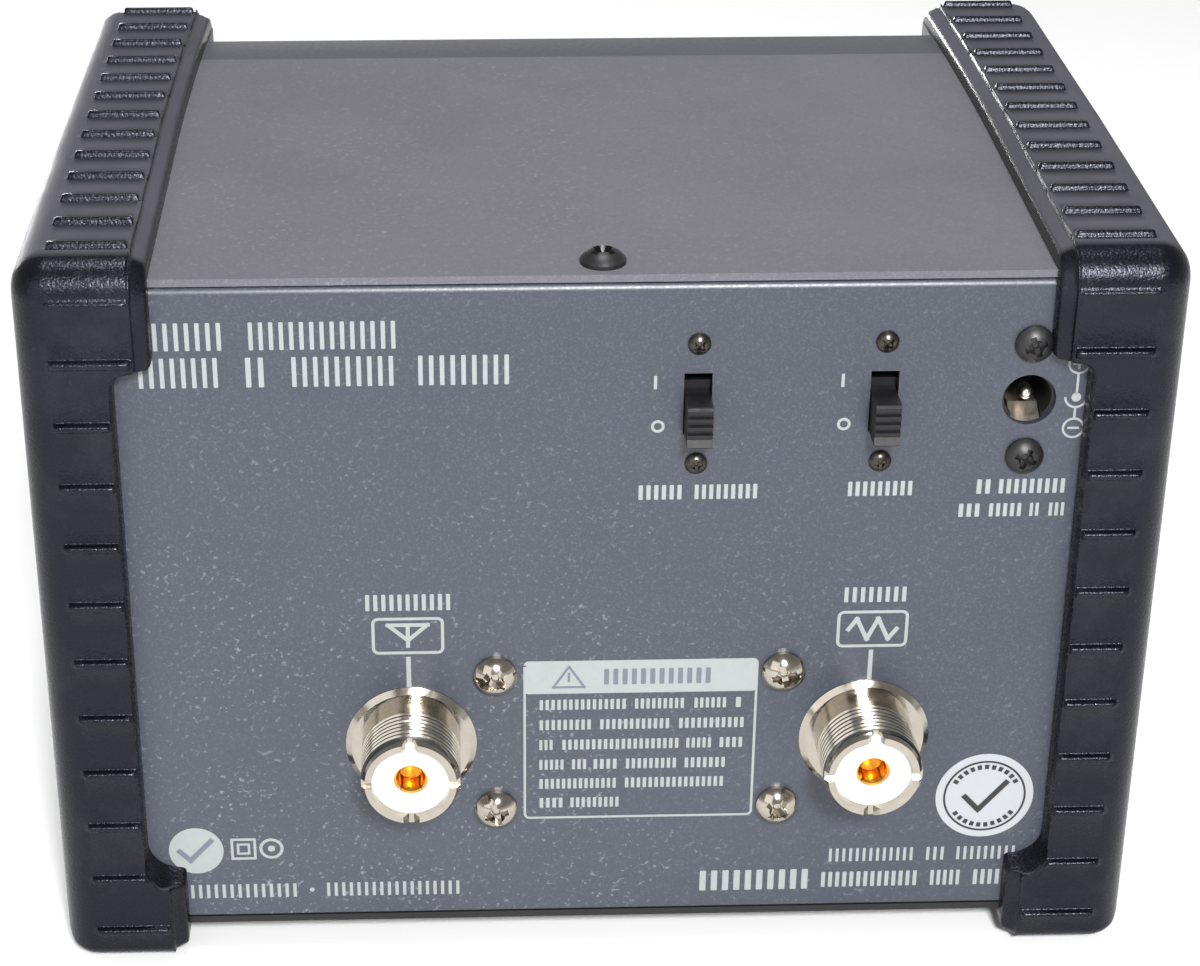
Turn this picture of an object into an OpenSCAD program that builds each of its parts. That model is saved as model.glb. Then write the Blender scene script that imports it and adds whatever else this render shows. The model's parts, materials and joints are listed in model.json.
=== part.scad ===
// Bench power and standing-wave meter with two crossed needles, between two elastomer end bumpers.
// Frame: +Z up, the dial faces -Y, the sockets and slide switches face +Y.
// The origin is at the middle of the footprint of everything, on the surface that it stands on.

/* [Case] */
// Width over the cover's sides
case_w = 172; // [160:1:184]
// Height from the bottom plate's underside to the cover's top
case_h = 116; // [112:1:124]
// Depth from the front bezel's face to the rear panel's face
case_d = 125; // [118:1:140]
// Thickness of the steel sheet
sheet = 1.2; // [1:0.1:1.5]
// Depth of the moulded front bezel
bezel_d = 19.7; // [18:0.1:24]
// Thickness of the bezel's front wall
bezel_wall = 3; // [2.5:0.1:3.5]

/* [Bumpers] */
// How far the rib crests stand proud of the case
rib_proud = 5; // [4.5:0.1:5.5]
// How far the ribbed band stands proud of the case
band_proud = 4; // [3.5:0.1:4]
// Width of one rib
rib_w = 1.5; // [1.2:0.1:2]
// Half the width of case left bare between the two bumpers
bare_half_w = 67.5; // [66:0.1:70]
// How far the notches in the bumpers' rear and front lips step outboard
notch_step = 6; // [4:0.1:6]
// Rounding of the bumpers' outer edges
bumper_round = 5.2; // [5:0.1:7]

/* [Sockets] */
// Outer diameter of the coupling thread
thread_d = 15.88; // [15.7:0.01:16]
// How far the sockets stand out of the rear panel
socket_reach = 12.4; // [12:0.1:13]
// Distance between the two sockets
socket_gap = 73.5; // [72:0.5:75]
// Height of the socket axes above the ground
socket_z = 39.8; // [39:0.1:42]
// Inner diameter of the centre contact
contact_bore = 4; // [3.9:0.05:4.1]

/* [Rear controls] */
// Height of the switches and the supply inlet above the ground
control_z = 99.7; // [96:0.1:100]
// Travel of a slide switch
slide_travel = 3.3; // [3:0.1:4]
// How far a slider stands out of the rear panel
slider_reach = 5.5; // [4:0.1:6.5]
// Diameter of the supply inlet's hole
inlet_d = 8.3; // [8:0.1:9]

/* [Dial] */
// Width of the meter's opening in the bezel
dial_w = 120; // [112:1:124]
// Length of a pointer from its pivot
pointer_l = 66; // [60:1:68]
// Half the distance between the two pivots
pivot_half = 28; // [26:1:32]
// Rest angle of a pointer above the horizontal
pointer_rest = 15; // [12:1:18]
// Swing of a pointer from rest to full scale
pointer_swing = 47; // [40:1:47]

/* [Front controls] */
// Diameter of the range knob
knob_d = 19; // [16:0.5:20]
// How far the range knob stands out of the bezel
knob_reach = 13; // [11:0.5:15]
// Height of the knob and the button above the ground
front_control_z = 24; // [23:0.5:25]

/* [Hidden] */
$fn = 64;
tiny = 0.01;                                    // overshoot that keeps cuts clean
total_d = socket_reach + case_d + knob_reach;   // the whole object, knob to sockets
rear_y = total_d / 2 - socket_reach;            // outer face of the rear panel
front_y = rear_y - case_d;                      // front face of the bezel
base_z = rib_proud;                             // underside of the bottom plate
top_z = base_z + case_h;                        // top face of the cover
cover_d = case_d - bezel_d;
seam_y = rear_y - cover_d;                      // where the cover meets the bezel
inner_y = rear_y - sheet;                       // inner face of the rear panel
bumper_front_reach = 4;                         // the front lips, proud of the bezel's face
bumper_half_w = case_w / 2 + 3;
lip_wall = 1.8;                                 // straight part of a lip's inner edge
lip_bevel = 2.4;                                // width of the bevel above it
chamfer_d = 8.6;                                // bevel along the bezel's top and bottom, its depth
chamfer_h = 5.5;                                // and its height
socket_mid_x = -6.4;
output_x = socket_mid_x + socket_gap / 2;
input_x = socket_mid_x - socket_gap / 2;
hold_x = -14.4;
light_x = -42.8;
inlet_x = -65.1;
flange_r = 10.57;
flange_t = 0.95;
insulator_r = 6.2;
coupler_screw_dx = 23.1;
coupler_screw_dz = 12.75;
coupler_screw_z = socket_z - 0.2;
switch_screw_dz = 10;
slot_w = 4.3;
slot_h = 10.2;
slider_h = slot_h - slide_travel;
inlet_screw_dz = 9.4;
cover_screw_inset = 5;
dial_bottom = 37;                               // the meter's opening in the bezel
dial_top = 111;
mask_top = 49;                                  // the opaque strip over the pivots
pivot_z = 45;
plate_y = front_y + 9.6;                        // front face of the scale plate
knob_x = 45;
button_x = -45;
coupler_h = 40;
coupler_w = 104;
coupler_d = 40;
coupler_back = inner_y - coupler_d;             // open side of the coupler housing
board_z = 13;
flange_in = 12;                                 // how deep the rear panel's bent flanges reach
panel_half_w = case_w / 2 - 2 * sheet - 0.2;
bottom_screw_x = 60;
side_screw_z = base_z + 8;

// ---- shared shapes ----

// A rectangle centred on the origin with round corners.
module rounded_rect(w, h, r) {
    square([w - 2 * r, h], center = true);
    square([w, h - 2 * r], center = true);
    for (x = [-1, 1], y = [-1, 1]) translate([x * (w / 2 - r), y * (h / 2 - r)]) circle(r);
}

// A (Y, Z) outline that may be rounder at its upper corners than at its lower ones.
module side_outline(y0, y1, z0, z1, low_r, high_r) {
    translate([y0, z0 + low_r]) square([y1 - y0, z1 - z0 - low_r - high_r]);
    translate([y0 + low_r, z0]) square([y1 - y0 - 2 * low_r, z1 - z0 - high_r]);
    translate([y0 + high_r, z0 + low_r]) square([y1 - y0 - 2 * high_r, z1 - z0 - low_r]);
    for (y = [y0 + low_r, y1 - low_r]) translate([y, z0 + low_r]) circle(low_r);
    for (y = [y0 + high_r, y1 - high_r]) translate([y, z1 - high_r]) circle(high_r);
}

// Extrudes a (Y, Z) outline along X from x0 to x1.
module along_x(x0, x1) {
    translate([x0, 0, 0]) rotate([90, 0, 90]) linear_extrude(x1 - x0) children();
}

// Extrudes an (X, Z) outline along Y from y0 to y1.
module along_y(y0, y1) {
    translate([0, y1, 0]) rotate([90, 0, 0]) linear_extrude(y1 - y0) children();
}

// A block given by its lowest and highest corners.
module block(lo, hi) {
    translate(lo) cube(hi - lo);
}

// A rod along +Y.
module rod_y(x, z, r, y0, y1) {
    translate([x, y0, z]) rotate([-90, 0, 0]) cylinder(h = y1 - y0, r = r);
}

// A domed screw with a cross recess, standing on z = 0 with its shank below.
module pan_screw(head_d, head_h, shank_d, shank_l, spin = 20) {
    dome_r = head_d * 0.62;
    recess_w = head_d * 0.15;
    recess_l = head_d * 0.58;
    rotate([0, 0, spin]) difference() {
        intersection() {
            cylinder(h = head_h, r = head_d / 2);
            translate([0, 0, head_h - dome_r]) sphere(dome_r);
        }
        for (a = [0, 90]) rotate([0, 0, a])
            translate([-recess_l / 2, -recess_w / 2, head_h * 0.42]) cube([recess_l, recess_w, head_h]);
        translate([0, 0, head_h * 0.3]) cylinder(h = head_h, r1 = recess_w * 0.5, r2 = recess_w * 1.9);
    }
    translate([0, 0, -shank_l]) cylinder(h = shank_l + tiny, r = shank_d / 2);
}

// Turns a screw so that its head faces +Y, at a place on the plane y.
module facing_rear(x, y, z) {
    translate([x, y, z]) rotate([-90, 0, 0]) children();
}

// A lead of round wire through a list of points.
module lead(points, r) {
    for (i = [0 : len(points) - 2]) {
        step = points[i + 1] - points[i];
        length = norm(step);
        pitch = acos(step.z / length);
        yaw = atan2(step.y, step.x);
        translate(points[i]) rotate([0, pitch, yaw]) cylinder(h = length, r = r);
        if (i > 0) translate(points[i]) sphere(r);
    }
}

// ---- case ----

module top_cover() {
    bend_r = 2;
    color("dimgray") difference() {
        along_y(seam_y, rear_y) difference() {
            translate([0, top_z - case_h]) rounded_rect(case_w, 2 * case_h, bend_r);
            translate([0, top_z - case_h]) rounded_rect(case_w - 2 * sheet, 2 * (case_h - sheet), bend_r - sheet);
            translate([0, base_z + sheet - case_h]) square([case_w + 2, 2 * case_h], center = true);
        }
        translate([0, rear_y - cover_screw_inset, top_z - 2 * sheet]) cylinder(h = 3 * sheet, r = 2.1);
        for (s = [-1, 1], y = side_screw_ys())
            translate([s * case_w / 2, y, side_screw_z]) rotate([0, -s * 90, 0])
                translate([0, 0, -tiny]) cylinder(h = sheet + 2 * tiny, r1 = 3, r2 = 1.65);
    }
}

function side_screw_ys() = [seam_y + 18, rear_y - 22];

module rear_panel() {
    z0 = base_z + sheet;
    z1 = top_z - sheet;
    color("slategray") difference() {
        along_x(-panel_half_w, panel_half_w) difference() {
            side_outline(rear_y - 2 * flange_in, rear_y, z0, z1, 0.6, 1.8);
            side_outline(rear_y - 2 * flange_in, rear_y - sheet, z0 + sheet, z1 - sheet, 0.1, 0.6);
            translate([rear_y - 2 * flange_in - 1, z0 - 1]) square([flange_in + 1, z1 - z0 + 2]);
        }
        for (x = [output_x, input_x]) rod_y(x, socket_z, 8.1, inner_y - 1, rear_y + 1);
        for (x = [-1, 1], z = [-1, 1])
            rod_y(socket_mid_x + x * coupler_screw_dx, coupler_screw_z + z * coupler_screw_dz, 2.2,
                inner_y - 1, rear_y + 1);
        for (x = [hold_x, light_x]) {
            block([x - slot_w / 2, inner_y - 1, control_z - slot_h / 2],
                [x + slot_w / 2, rear_y + 1, control_z + slot_h / 2]);
            for (z = [-1, 1]) rod_y(x, control_z + z * switch_screw_dz, 1.15, inner_y - 1, rear_y + 1);
        }
        rod_y(inlet_x, control_z, inlet_d / 2, inner_y - 1, rear_y + 1);
        for (z = [-1, 1]) rod_y(inlet_x, control_z + z * inlet_screw_dz, 1.7, inner_y - 1, rear_y + 1);
        translate([0, rear_y - cover_screw_inset, top_z - 4 * sheet]) cylinder(h = 5 * sheet, r = 1.7);
        for (s = [-1, 1]) translate([s * bottom_screw_x, rear_y - cover_screw_inset, base_z])
            cylinder(h = 4 * sheet, r = 1.35);
    }
}

module bottom_plate() {
    fold_h = 12;
    color("black") difference() {
        along_y(seam_y, rear_y) {
            translate([-case_w / 2, base_z]) square([case_w, sheet]);
            for (s = [-1, 1])
                translate([s * (case_w / 2 - 1.5 * sheet) - sheet / 2, base_z]) square([sheet, fold_h]);
        }
        for (s = [-1, 1], y = [rear_y - cover_screw_inset, seam_y + 8])
            translate([s * bottom_screw_x, y, base_z - 1]) cylinder(h = sheet + 2, r = 1.65);
        for (x = [-1, 1], y = standoff_ys())
            translate([x * standoff_x, y, base_z - 1]) cylinder(h = sheet + 2, r = 1.6);
        for (s = [-1, 1], y = side_screw_ys())
            translate([s * (case_w / 2 - 4 * sheet), y, side_screw_z]) rotate([0, s * 90, 0])
                cylinder(h = 4 * sheet, r = 1.35);
    }
}

module front_bezel() {
    wall = 2.5;
    mid_z = base_z + case_h / 2;
    step_y = front_y + 9;
    color("dimgray") difference() {
        block([-case_w / 2, front_y, base_z], [case_w / 2, seam_y, top_z]);
        // the wide bevels along the top and the bottom, between the bumpers
        for (s = [-1, 1]) along_x(-bare_half_w, bare_half_w) polygon([
            [front_y - 1, mid_z + s * (case_h / 2 + 1)],
            [front_y + chamfer_d, mid_z + s * (case_h / 2 + 1)],
            [front_y + chamfer_d, mid_z + s * case_h / 2],
            [front_y, mid_z + s * (case_h / 2 - chamfer_h)],
            [front_y - 1, mid_z + s * (case_h / 2 - chamfer_h)]]);
        block([-case_w / 2 + wall, front_y + bezel_wall, base_z + 8],
            [case_w / 2 - wall, step_y + 1, top_z - 8]);
        block([-case_w / 2 + wall, step_y, base_z + wall], [case_w / 2 - wall, seam_y + 1, top_z - wall]);
        along_y(front_y - 1, front_y + bezel_wall + 1)
            translate([0, (dial_bottom + dial_top) / 2]) rounded_rect(dial_w, dial_top - dial_bottom, 3);
        rod_y(knob_x, front_control_z, 3.6, front_y - 1, front_y + bezel_wall + 1);
        along_y(front_y - 1, front_y + bezel_wall + 1)
            translate([button_x, front_control_z]) rounded_rect(12.6, 7.6, 1.3);
    }
    // bosses that take the bottom plate's front screws
    color("dimgray") for (s = [-1, 1]) difference() {
        block([s * bottom_screw_x - 4, seam_y - 1, base_z + sheet + 0.05],
            [s * bottom_screw_x + 4, seam_y + 13, base_z + 9]);
        translate([s * bottom_screw_x, seam_y + 8, base_z]) cylinder(h = 8, r = 1.35);
    }
}

// ---- bumpers ----

rib_margin_front = 7.2;                         // first rib to the front crest plane, along the depth
rib_margin_rear = 8.2;                          // last rib to the rear crest plane
rib_margin_up = 6.6;                            // last rib to the crest plane, up the height
bumper_y0 = front_y - bumper_front_reach;
bumper_y1 = rear_y + rib_proud;
bumper_z1 = top_z + rib_proud;
ribs_along = 13;
ribs_up = 12;

// The rib's section, standing up from the band with its flat crest at the crest height.
module rib_section() {
    h = rib_proud - band_proud;
    polygon([[-rib_w / 2, -1], [rib_w / 2, -1], [rib_w / 2, h * 0.55], [rib_w / 2 - h * 0.4, h],
        [-rib_w / 2 + h * 0.4, h], [-rib_w / 2, h * 0.55]]);
}

// A rectangle from lo to hi whose two outboard corners are round and whose inboard edge is bevelled.
module bumper_section(lo, hi) {
    x0 = bare_half_w;
    x1 = bumper_half_w;
    inner_lo = lo + band_proud - lip_wall;
    inner_hi = hi - band_proud + lip_wall;
    polygon([[x0, inner_lo], [x0 + lip_bevel, lo], [x1 - bumper_round, lo], [x1 - bumper_round, hi],
        [x0 + lip_bevel, hi], [x0, inner_hi]]);
    translate([x1 - 2 * bumper_round, lo + bumper_round]) square([2 * bumper_round, hi - lo - 2 * bumper_round]);
    for (v = [lo + bumper_round, hi - bumper_round]) translate([x1 - bumper_round, v]) circle(bumper_round);
}

// The bumper on the +X side.
module bumper() {
    gap = rib_proud - band_proud;
    y0 = bumper_y0 + gap;
    y1 = bumper_y1 - gap;
    z0 = gap;
    z1 = bumper_z1 - gap;
    rib_x0 = bare_half_w + 2.8;
    rib_x1 = bumper_half_w - bumper_round - 0.3;
    notch_x = bare_half_w + notch_step;
    notch_z0 = 14.6;
    notch_z1 = 106.9;
    notch_r = 4.8;
    recess_inset = 14;
    difference() {
        union() {
            intersection() {
                along_y(y0 - 1, y1 + 1) bumper_section(z0, z1);
                translate([0, 0, -1]) linear_extrude(z1 + 2) bumper_section(y0, y1);
                along_x(bare_half_w - 1, bumper_half_w + 1) side_outline(y0, y1, z0, z1, 2.2, 6);
            }
            for (i = [0 : ribs_along - 1]) {
                y = bumper_y0 + rib_margin_front
                    + i * (bumper_y1 - bumper_y0 - rib_margin_front - rib_margin_rear) / (ribs_along - 1);
                along_x(rib_x0, rib_x1) {
                    translate([y, z1]) rib_section();
                    translate([y, z0]) rotate(180) rib_section();
                }
            }
            for (i = [0 : ribs_up - 1]) {
                z = rib_margin_up + i * (bumper_z1 - 2 * rib_margin_up) / (ribs_up - 1);
                along_x(rib_x0, rib_x1) {
                    translate([y1, z]) rotate(-90) rib_section();
                    translate([y0, z]) rotate(90) rib_section();
                }
            }
        }
        block([0, front_y, base_z], [case_w / 2, rear_y, top_z]);
        along_y(bumper_y0 - 10, bumper_y1 + 10) {
            translate([notch_x - 20, (notch_z0 + notch_z1) / 2])
                rounded_rect(40, notch_z1 - notch_z0, notch_r);
        }
        along_x(bumper_half_w - 1, bumper_half_w + 1)
            translate([(y0 + y1) / 2, (z0 + z1) / 2])
                rounded_rect(y1 - y0 - 2 * recess_inset, z1 - z0 - 2 * recess_inset, 6);
    }
}

module right_bumper() {
    color("#26272c") bumper();
}

module left_bumper() {
    color("#26272c") difference() {
        mirror([1, 0, 0]) bumper();
        rod_y(inlet_x, control_z + inlet_screw_dz, 3.05, rear_y - 1, rear_y + 2.3);
    }
}

// ---- case fasteners ----

module cover_rear_screw() {
    color("#1c1c1e") translate([0, rear_y - cover_screw_inset, top_z]) pan_screw(7, 2.4, 3.3, 8, 45);
}

module bottom_screws() {
    color("#1c1c1e") for (s = [-1, 1], y = [rear_y - cover_screw_inset, seam_y + 8])
        translate([s * bottom_screw_x, y, base_z]) rotate([180, 0, 0]) pan_screw(5.5, 1.9, 2.6, 6, 30);
}

module side_screws() {
    color("#1c1c1e") for (s = [-1, 1], y = side_screw_ys())
        translate([s * case_w / 2, y, side_screw_z]) rotate([0, -s * 90, 0]) {
            cylinder(h = sheet, r1 = 2.9, r2 = 1.55);
            cylinder(h = 6, r = 1.3);
        }
}

// ---- coaxial sockets ----

// The (radius, length) outline of a socket's shell; the grooves are the coupling thread.
function groove_points(start, pitch, count, r, depth) = [for (i = [0 : count - 1], k = [0 : 2])
    [k == 1 ? r - depth : r, start + pitch * (i + k * 0.32)]];

module socket_shell() {
    r = thread_d / 2;
    end = socket_reach;
    thread_pitch = 25.4 / 24;
    neck_r = 7.5;
    neck_in = 9;
    notch_w = 2.6;
    notch_d = 1.3;
    slot_w = 1.5;
    slot_d = 0.9;
    color("#c8c4bb") difference() {
        rotate_extrude() polygon(concat(
            [[insulator_r, -neck_in], [neck_r, -neck_in], [neck_r, 0], [flange_r, 0],
                [flange_r, 0.25], [flange_r - 0.92, flange_t], [r, flange_t]],
            groove_points(end - 8.8, thread_pitch, 7, r, 0.55),
            [[r, end - 1], [r - 0.65, end], [insulator_r, end]]));
        for (a = [90, 270]) rotate([0, 0, a]) translate([0, 0, end]) rotate([90, 0, 90])
            translate([0, 0, insulator_r - 1]) linear_extrude(4)
                polygon([[-notch_w / 2, tiny], [notch_w / 2, tiny], [0.4, -notch_d], [-0.4, -notch_d]]);
        for (s = [-1, 1]) translate([s * (insulator_r + 1) - 2, -slot_w / 2, end - slot_d])
            cube([4, slot_w, slot_d + 1]);
    }
}

module socket_insulator() {
    color("white") difference() {
        union() {
            translate([0, 0, -9]) cylinder(h = socket_reach - 1.4 + 9, r = insulator_r);
            translate([0, 0, -12]) cylinder(h = 3, r = 5);
        }
        translate([0, 0, -13]) cylinder(h = 40, r = 2.7);
    }
}

module socket_contact() {
    mouth = socket_reach - 1.8;
    bore_depth = 12;
    color("goldenrod") difference() {
        union() {
            translate([0, 0, 0]) cylinder(h = mouth, r = 2.7);
            translate([0, 0, -14]) cylinder(h = 14, r = 2.7);
        }
        translate([0, 0, mouth - bore_depth]) cylinder(h = bore_depth + 1, r = contact_bore / 2);
        translate([0, 0, mouth - 0.4]) cylinder(h = 0.4 + tiny, r1 = contact_bore / 2, r2 = contact_bore / 2 + 0.35);
        for (a = [45, 135]) rotate([0, 0, a]) translate([-4, -0.2, mouth - 8]) cube([8, 0.4, 9]);
        translate([0, 0, -14 - tiny]) cylinder(h = 5, r = 1.5);
    }
}

module output_socket_shell() { facing_rear(output_x, rear_y, socket_z) socket_shell(); }
module output_socket_insulator() { facing_rear(output_x, rear_y, socket_z) socket_insulator(); }
module output_socket_contact() { facing_rear(output_x, rear_y, socket_z) socket_contact(); }
module input_socket_shell() { facing_rear(input_x, rear_y, socket_z) socket_shell(); }
module input_socket_insulator() { facing_rear(input_x, rear_y, socket_z) socket_insulator(); }
module input_socket_contact() { facing_rear(input_x, rear_y, socket_z) socket_contact(); }

// ---- directional coupler ----

module coupler_housing() {
    wall = 2.5;
    x0 = socket_mid_x - coupler_w / 2;
    x1 = socket_mid_x + coupler_w / 2;
    z0 = socket_z - coupler_h / 2;
    z1 = socket_z + coupler_h / 2;
    color("silver") difference() {
        union() {
            difference() {
                block([x0, coupler_back, z0], [x1, inner_y, z1]);
                block([x0 + wall, coupler_back - 1, z0 + wall], [x1 - wall, inner_y - wall, z1 - wall]);
            }
            for (x = [-1, 1], z = [-1, 1]) {
                rod_y(socket_mid_x + x * coupler_screw_dx, coupler_screw_z + z * coupler_screw_dz, 4,
                    inner_y - 12, inner_y);
                rod_y(socket_mid_x + x * (coupler_w / 2 - 5), socket_z + z * (coupler_h / 2 - 5), 3.5,
                    coupler_back, coupler_back + 10);
            }
        }
        for (x = [output_x, input_x]) rod_y(x, socket_z, 7.55, inner_y - wall - 1, inner_y + 1);
        for (x = [-1, 1], z = [-1, 1]) {
            rod_y(socket_mid_x + x * coupler_screw_dx, coupler_screw_z + z * coupler_screw_dz, 2.05,
                inner_y - 10.5, inner_y + 1);
            rod_y(socket_mid_x + x * (coupler_w / 2 - 5), socket_z + z * (coupler_h / 2 - 5), 1.3,
                coupler_back - 1, coupler_back + 8);
        }
    }
}

module coupler_cover() {
    color("silver") difference() {
        block([socket_mid_x - coupler_w / 2, coupler_back - 1.5, socket_z - coupler_h / 2],
            [socket_mid_x + coupler_w / 2, coupler_back, socket_z + coupler_h / 2]);
        for (x = [-1, 1], z = [-1, 1])
            rod_y(socket_mid_x + x * (coupler_w / 2 - 5), socket_z + z * (coupler_h / 2 - 5), 1.4,
                coupler_back - 2, coupler_back + 1);
        for (x = [-1, 1]) rod_y(socket_mid_x + 12 * x, socket_z, 2, coupler_back - 2, coupler_back + 1);
    }
}

module coupler_screws() {
    color("#d8d2c4") for (x = [-1, 1], z = [-1, 1])
        facing_rear(socket_mid_x + x * coupler_screw_dx, rear_y, coupler_screw_z + z * coupler_screw_dz)
            pan_screw(7, 2.6, 4, 10, 35 + 20 * x * z);
}

module coupler_cover_screws() {
    color("silver") for (x = [-1, 1], z = [-1, 1])
        translate([socket_mid_x + x * (coupler_w / 2 - 5), coupler_back - 1.5, socket_z + z * (coupler_h / 2 - 5)])
            rotate([90, 0, 0]) pan_screw(5, 1.7, 2.5, 7, 15);
}

line_y = inner_y - 19;                          // the straight run between the two contacts
toroid_r = 6;
toroid_half = 1.75;                             // half the side of its square section
sleeve_r = 2.8;                                 // insulating sleeve between the line and the winding

module through_line() {
    color("#d5d5d5") lead([[output_x, rear_y - 10, socket_z], [output_x, line_y, socket_z],
        [input_x, line_y, socket_z], [input_x, rear_y - 10, socket_z]], 1.45);
    color("white") translate([socket_mid_x - 8, line_y, socket_z]) rotate([0, 90, 0]) difference() {
        cylinder(h = 16, r = sleeve_r);
        translate([0, 0, -1]) cylinder(h = 18, r = 1.45);
    }
}

module toroid_core() {
    color("#3b3b3d") translate([socket_mid_x - toroid_half, line_y, socket_z]) rotate([0, 90, 0]) difference() {
        cylinder(h = 2 * toroid_half, r = toroid_r + toroid_half);
        translate([0, 0, -1]) cylinder(h = 2 * toroid_half + 2, r = toroid_r - toroid_half);
    }
}

module toroid_winding() {
    turns = 12;
    color("#b5652b") translate([socket_mid_x, line_y, socket_z]) rotate([0, 90, 0])
        for (i = [0 : turns - 1]) rotate([0, 0, i * 360 / turns]) translate([toroid_r, 0, 0]) rotate([90, 0, 0])
            rotate_extrude() translate([toroid_half * sqrt(2) + 0.38, 0]) circle(0.3, $fn = 16);
}

module coupler_board() {
    y = coupler_back + 10;
    color("#2f6b3f") difference() {
        block([socket_mid_x - coupler_w / 2 + 2.5, y, socket_z - coupler_h / 2 + 2.5],
            [socket_mid_x + coupler_w / 2 - 2.5, y + 1.6, socket_z + coupler_h / 2 - 2.5]);
        for (x = [-1, 1]) rod_y(socket_mid_x + x * 12, socket_z, 1, y - 1, y + 3);
    }
}

module coupler_trimmers() {
    y = coupler_back + 10;
    color("#b8863b") for (x = [-12, 12], z = [-9, 9])
        rod_y(socket_mid_x + x, socket_z + z, 3, y - 4, y);
}

// ---- slide switches ----

module slide_switch_body(x) {
    frame_t = 0.6;
    frame_w = 7.4;
    body_h = 15.4;
    cavity_h = 13.4;
    y1 = inner_y;
    color("#8d8f92") difference() {
        block([x - frame_w / 2, y1 - frame_t, control_z - 13], [x + frame_w / 2, y1, control_z + 13]);
        block([x - slot_w / 2 - 0.1, y1 - 2, control_z - slot_h / 2 - 0.1],
            [x + slot_w / 2 + 0.1, y1 + 1, control_z + slot_h / 2 + 0.1]);
        for (z = [-1, 1]) rod_y(x, control_z + z * switch_screw_dz, 1.05, y1 - 2, y1 + 1);
    }
    color("#19191b") difference() {
        block([x - 4, y1 - 8.6, control_z - body_h / 2], [x + 4, y1 - frame_t, control_z + body_h / 2]);
        block([x - 3.2, y1 - 4, control_z - cavity_h / 2], [x + 3.2, y1, control_z + cavity_h / 2]);
    }
    for (z = [-4, 0, 4]) color("#c9b26b")
        block([x - 0.9, y1 - 12.6, control_z + z - 0.3], [x + 0.9, y1 - 8.6, control_z + z + 0.3]);
}

// A slider at its lower end: a skirt behind the panel and a ridged thumb piece that passes the slot.
module slider(x) {
    z0 = control_z - slot_h / 2 + 0.1;
    z1 = z0 + slider_h - 0.2;
    y1 = rear_y + slider_reach;
    ridges = 4;
    pitch = 1.35;
    ridge_d = 0.5;
    color("#17171a") {
        along_x(x - slot_w / 2 + 0.2, x + slot_w / 2 - 0.2) polygon(concat(
            [[inner_y - 3.6, z0], [y1 - 0.2, z0], [y1, z0 + 0.2]],
            [for (i = [0 : ridges - 1], k = [0 : 3])
                [y1 - (k == 0 || k == 3 ? ridge_d : 0), z1 - (ridges - i - [0.1, 0.3, 0.7, 0.9][k]) * pitch]],
            [[y1 - ridge_d, z1], [inner_y - 3.6, z1]]));
        block([x - 3, inner_y - 3.6, z0 - 1.3], [x + 3, inner_y - 1.1, z1 + 1.3]);
    }
}

module hold_switch_body() { slide_switch_body(hold_x); }
module light_switch_body() { slide_switch_body(light_x); }
module hold_slider() { slider(hold_x); }
module light_slider() { slider(light_x); }

module slide_switch_screws() {
    color("#4a463f") for (x = [hold_x, light_x], z = [-1, 1])
        facing_rear(x, rear_y, control_z + z * switch_screw_dz) pan_screw(3.5, 1.2, 2, 3.4, 25 + 18 * z);
}

// ---- supply inlet ----

jack_mouth_y = inner_y - 0.5;

module dc_jack_body() {
    bore_r = 3.7;
    color("#151517") difference() {
        union() {
            block([inlet_x - 5.5, inner_y - 2, control_z - 12.8], [inlet_x + 5.5, inner_y, control_z + 12.8]);
            block([inlet_x - 5.5, inner_y - 14, control_z - 6.5], [inlet_x + 5.5, inner_y, control_z + 6.5]);
        }
        rod_y(inlet_x, control_z, bore_r, inner_y - 11.5, inner_y + 1);
        rod_y(inlet_x, control_z, 1.31, inner_y - 15, inner_y - 11);
        block([inlet_x - 2.45, inner_y - 11.5, control_z - 4.8], [inlet_x + 2.45, inner_y + 1, control_z - 2]);
        for (z = [-1, 1]) rod_y(inlet_x, control_z + z * inlet_screw_dz, 1.5, inner_y - 3, inner_y + 1);
    }
}

module dc_jack_pin() {
    r = 1.05;
    color("#cfc9bd") {
        rod_y(inlet_x, control_z, 1.3, inner_y - 16, inner_y - 11.5);
        rod_y(inlet_x, control_z, r, inner_y - 11.5 - tiny, jack_mouth_y - r);
        translate([inlet_x, jack_mouth_y - r, control_z]) sphere(r);
    }
}

module dc_jack_spring() {
    y0 = inner_y - 11.4;
    y1 = inner_y - 0.35;
    color("#b9a98a") along_x(inlet_x - 2.3, inlet_x + 2.3) polygon([
        [y0, control_z - 3.7], [y1 - 3.3, control_z - 2.8], [y1, control_z - 4.6], [y1, control_z - 4.25],
        [y1 - 3.3, control_z - 2.45], [y0, control_z - 3.35]]);
}

module dc_jack_screws() {
    color("#1c1c1e") for (z = [-1, 1])
        facing_rear(inlet_x, rear_y, control_z + z * inlet_screw_dz) pan_screw(5.9, 2.1, 3, 4, 22 * z);
}

module inspection_sticker() {
    color("whitesmoke") rod_y(-63.9, 27.75, 8.1, rear_y, rear_y + 0.12);
}

// ---- meter ----

module meter_case() {
    half_w = dial_w / 2 + 2;
    color("#1b1b1d") difference() {
        block([-half_w, front_y + bezel_wall + 1.25, dial_bottom - 1.8], [half_w, front_y + 34, dial_top + 1.8]);
        block([-half_w + 1.5, front_y, dial_bottom - 0.3], [half_w - 1.5, front_y + 32.5, dial_top + 0.3]);
        for (s = [-1, 1]) rod_y(s * pivot_half, pivot_z + 30, 2, front_y + 30, front_y + 35);
    }
}

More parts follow.
